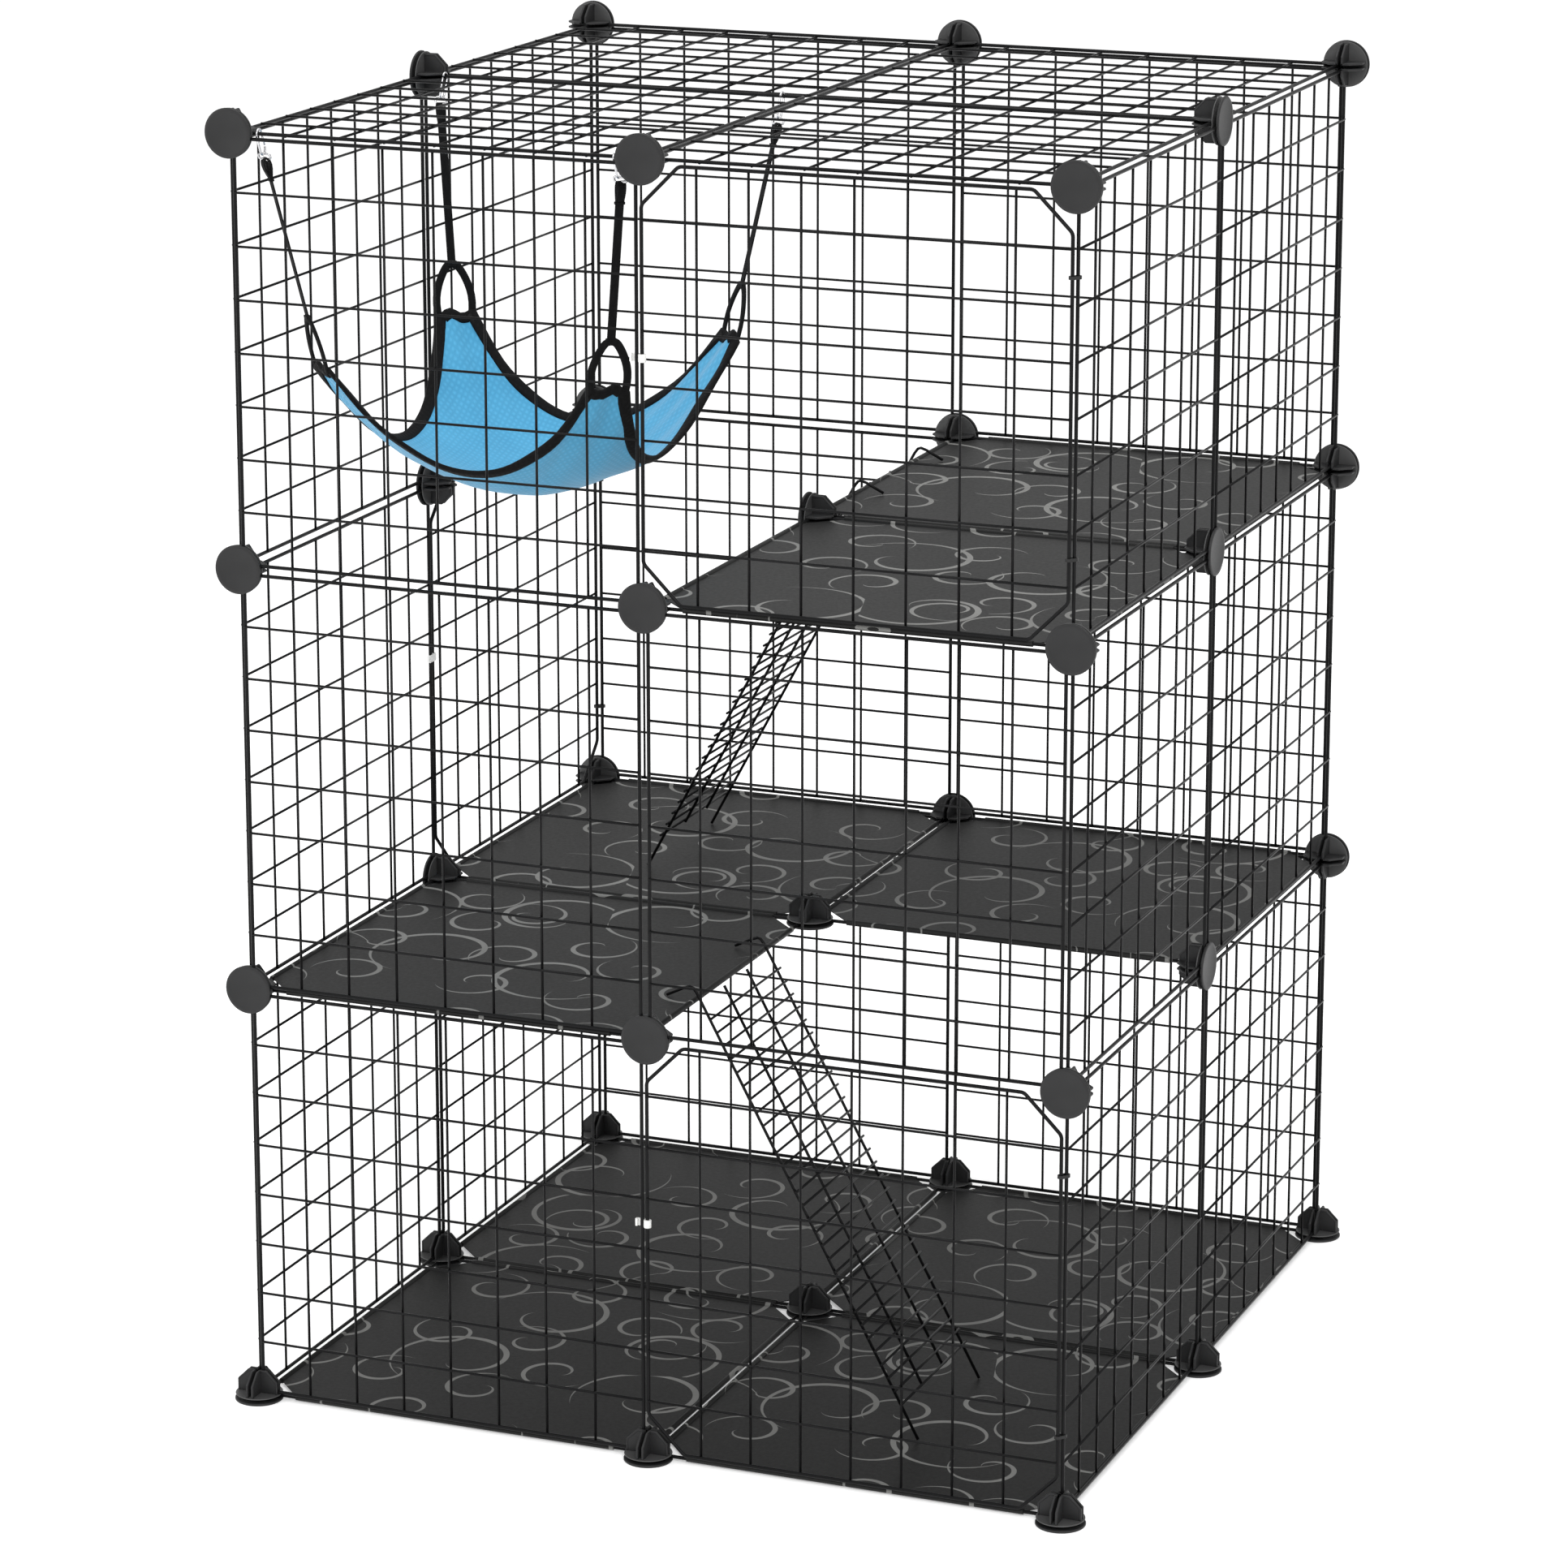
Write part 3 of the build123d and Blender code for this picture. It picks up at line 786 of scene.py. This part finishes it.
def hook_mesh():
    def build(bm):
        points = oval(HOOK_WIDTH - HOOK_WIRE, HOOK_LENGTH - HOOK_WIRE)
        tube(bm, points, HOOK_WIRE / 2, sides=10)
        eye_y = -HOOK_LENGTH / 2 - EYE_HEIGHT / 2 + HOOK_WIRE
        eye = rounded(square(EYE_WIDTH - HOOK_WIRE, EYE_HEIGHT - HOOK_WIRE), HOOK_WIRE)
        tube(bm, [Vector((0, eye_y + p.y, p.x)) for p in eye], HOOK_WIRE / 2, sides=10, closed=True)
    return mesh_of("snap hook", build, METAL)


def gate_mesh():
    def build(bm):
        x = (HOOK_WIDTH - HOOK_WIRE) / 2
        tube(bm, [(x, -GATE_LENGTH / 2, 0), (x, GATE_LENGTH / 2, 0)], GATE_RADIUS, sides=10)
    return mesh_of("hook gate", build, METAL)


def ribbon(bm, points, across, width, thick):
    """A flat tape along points, with its width along one direction."""
    rows = []
    for i, point in enumerate(points):
        along = (points[min(i + 1, len(points) - 1)] - points[max(i - 1, 0)]).normalized()
        wide = (across - along * across.dot(along)).normalized()
        thin = along.cross(wide)
        row = []
        for a, b in ((-1, -1), (1, -1), (1, 1), (-1, 1)):
            row.append(bm.verts.new(point + wide * (a * width / 2) + thin * (b * thick / 2)))
        rows.append(row)
    for first, second in zip(rows, rows[1:]):
        for k in range(4):
            n = (k + 1) % 4
            bm.faces.new((first[k], first[n], second[n], second[k]))
    bm.faces.new(list(reversed(rows[0])))
    bm.faces.new(rows[-1])


def loop_points(corner, up, across):
    """A teardrop of tape, from one end of a cut corner round to the other."""
    points = []
    for k in range(LOOP_STEPS + 1):
        t = k / LOOP_STEPS
        swing = math.sin(math.pi * t)
        side = math.cos(math.pi * t)
        belly = LOOP_HALF * (1 + 0.25 * math.sin(math.pi * swing)) * (1 - 0.25 * swing)
        aside = math.copysign(abs(side) ** 0.7, side) * belly
        points.append(corner + across * aside + up * (LOOP_HEIGHT * swing - LOOP_SINK))
    return points


def loop_mesh(corner, up, across):
    def build(bm):
        facing = across.cross(up).normalized()
        tube(bm, loop_points(corner, up, across), LOOP_BAND / 2, flat=0.42, up=facing)
    return mesh_of("corner loop", build, BINDING)


def strap_mesh(corner, up, across, bottom):
    """A taut tape from the loop to the hook, turned back through the eye, with a seam at each end."""
    top = corner + up * (LOOP_HEIGHT - LOOP_SINK)
    end = bottom - up * (HOOK_WIRE / 2 + STRAP_GAP)
    wide = (across - up * across.dot(up)).normalized()
    steps = [k / STRAP_STEPS for k in range(STRAP_STEPS + 1)]
    turned = []
    for t in steps:
        rise = TURN_LENGTH * math.sin(math.pi * t) - TURN_BACK
        bulge = TURN_BULGE * math.sin(2 * math.pi * t)
        turned.append(end + up * rise + wide.cross(up) * bulge)
    upper_seam = [end - up * distance for distance in (0.017, 0.016, 0.015)]
    lower_seam = [top - up * distance for distance in (0.002, 0.0005, -0.001, -0.0025)]

    def build(bm):
        ribbon(bm, [top.lerp(end, t) for t in steps], wide, STRAP_WIDTH, STRAP_TAPE)
        ribbon(bm, turned, wide, STRAP_WIDTH, STRAP_TAPE)
        ribbon(bm, upper_seam, wide, STRAP_WIDTH * 1.15, 0.0034)
        ribbon(bm, lower_seam, wide, STRAP_WIDTH * 1.2, 0.0036)
    return mesh_of("strap", build, BINDING)


def dress_hammock():
    cloth = piece("hammock_cloth_sheet", cloth_mesh(), "cage", nodes=["hammock_cloth"])
    solid = cloth.modifiers.new("thickness", "SOLIDIFY")
    solid.thickness = CLOTH_THICK
    solid.offset = 0.0
    tape = mesh_of("hammock binding", binding_build, BINDING)
    binding = piece("hammock_binding", tape, "cage")
    hook = hook_mesh()
    gate = gate_mesh()
    for name, sx, sy, corner, anchor in corner_places():
        local = hook_place(anchor, sy)
        bottom = local @ Vector((0, -(HOOK_LENGTH / 2 + EYE_HEIGHT - 1.5 * HOOK_WIRE), 0))
        up = (bottom - corner).normalized()
        across = Vector((sx, -sy, 0)).normalized()
        piece(f"hammock_{name}_loop", loop_mesh(corner, up, across), "cage",
              nodes=["hammock_corner_loops"], bevel=0.0003)
        piece(f"hammock_{name}_strap", strap_mesh(corner, up, across, bottom), "cage",
              nodes=["hammock_straps"], bevel=FINE_BEVEL)
        piece(f"{name}_snap_hook", hook, "cage", local, ["hammock_hooks"])
        piece(f"{name}_snap_gate", gate, f"{name}_hook_spring_gate", local,
              [f"{name}_hook_gate"])


# Door fittings
LATCH_HEIGHT = 0.0065
LATCH_RADIUS = 0.0031
LATCH_REACH = 0.0108
LATCH_OVERLAP = 0.0006
LATCH_ARM = 0.0013
LATCH_ARM_DEPTH = 0.00245
LATCH_LIP = 0.002
LATCH_LIP_DEPTH = 0.0015
LATCH_CELL = 4.5


def latch_mesh():
    """A collar on the door's upright, with an arm and lip behind the next panel's."""
    def bar(bm, near, far, thickness, depth):
        half = LATCH_HEIGHT / 2
        prism(bm, [(far, -half), (near, -half), (near, half), (far, half)], thickness,
              Matrix.Translation((0, 0, -depth)))

    def build(bm):
        tube(bm, [(0, -LATCH_HEIGHT / 2, 0), (0, LATCH_HEIGHT / 2, 0)], LATCH_RADIUS, sides=20)
        bar(bm, LATCH_OVERLAP, -LATCH_REACH, LATCH_ARM, LATCH_ARM_DEPTH)
        bar(bm, LATCH_LIP - LATCH_REACH, -LATCH_REACH, LATCH_RADIUS, LATCH_LIP_DEPTH)
    return mesh_of("door latch", build, LATCH)


def dress_doors():
    mesh = latch_mesh()
    near = PANEL_EDGE - DOOR_OVERLAP
    for (side, index, storey), body in DOORS.items():
        z = level(storey) + PANEL_EDGE + CELL * LATCH_CELL
        if side == "front":
            local = place_of((near, -BAY, z), (1, 0, 0), (0, -1, 0))
        else:
            local = place_of((-BAY, near, z), (0, 1, 0), (-1, 0, 0))
        piece(body + "_latch_clip", mesh, body.replace("door", "latch"), local,
              [body + "_latch"], bevel=0.0005)
    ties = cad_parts["door_hinge_ties"]
    ties.data.materials.clear()
    ties.data.materials.append(TIE)


# Stage, light and camera
CAMERA = (1.6416, -4.1264, 1.6975 + FOOT)
CAMERA_YAW = 0.3836
CAMERA_PITCH = -0.2391
CAMERA_FOCAL = 6751.2
PHOTO = 1932
CAMERA_CENTRE = 758.0


def set_stage():
    bm = bmesh.new()
    bmesh.ops.create_grid(bm, x_segments=2, y_segments=2, size=30)
    mesh = bpy.data.meshes.new("floor")
    bm.to_mesh(mesh)
    bm.free()
    floor = bpy.data.objects.new("floor", mesh)
    bpy.context.scene.collection.objects.link(floor)
    n = Nodes("floor")
    n.join(n.mix(n.noise(3), (0.86, 0.86, 0.86), (0.90, 0.90, 0.90)), n.shader.inputs["Base Color"])
    n.shader.inputs["Roughness"].default_value = 0.8
    n.shader.inputs["Emission Color"].default_value = (1, 1, 1, 1)
    n.shader.inputs["Emission Strength"].default_value = 0.37
    mesh.materials.append(n.material)

    world = bpy.data.worlds.new("studio")
    bpy.context.scene.world = world
    world.use_nodes = True
    tree = world.node_tree
    background = tree.nodes["Background"]
    background.inputs["Color"].default_value = (1, 1, 1, 1)
    path = tree.nodes.new("ShaderNodeLightPath")
    strength = tree.nodes.new("ShaderNodeMix")
    strength.inputs["A"].default_value = 0.75
    strength.inputs["B"].default_value = 1.0
    tree.links.new(path.outputs["Is Camera Ray"], strength.inputs["Factor"])
    tree.links.new(strength.outputs["Result"], background.inputs["Strength"])


def area_light(name, place, target, size, power):
    data = bpy.data.lights.new(name, "AREA")
    data.size = size
    data.energy = power
    obj = bpy.data.objects.new(name, data)
    obj.location = place
    obj.rotation_euler = (Vector(target) - Vector(place)).to_track_quat("-Z", "Y").to_euler()
    bpy.context.scene.collection.objects.link(obj)


def set_lights():
    area_light("key", (2.2, -3.4, 3.6), (0, 0, 0.5), 2.2, 95)
    area_light("fill", (-3.2, -2.6, 2.2), (0, 0, 0.5), 2.6, 45)
    area_light("top", (0, 0.4, 4.2), (0, 0, 0.4), 3.0, 60)


def set_camera():
    data = bpy.data.cameras.new("camera")
    camera = bpy.data.objects.new("camera", data)
    bpy.context.scene.collection.objects.link(camera)
    data.sensor_width = 36.0
    data.lens = 36.0 * CAMERA_FOCAL / PHOTO
    data.shift_y = (CAMERA_CENTRE - PHOTO / 2) / PHOTO
    data.clip_end = 100
    camera.location = CAMERA
    camera.rotation_euler = (math.pi / 2 + CAMERA_PITCH, 0, CAMERA_YAW)
    bpy.context.scene.camera = camera


dress_walls()
dress_shelves()
dress_connectors()
dress_ramps()
dress_hammock()
dress_doors()
set_stage()
set_lights()
set_camera()
bpy.context.scene.view_settings.view_transform = "Standard"
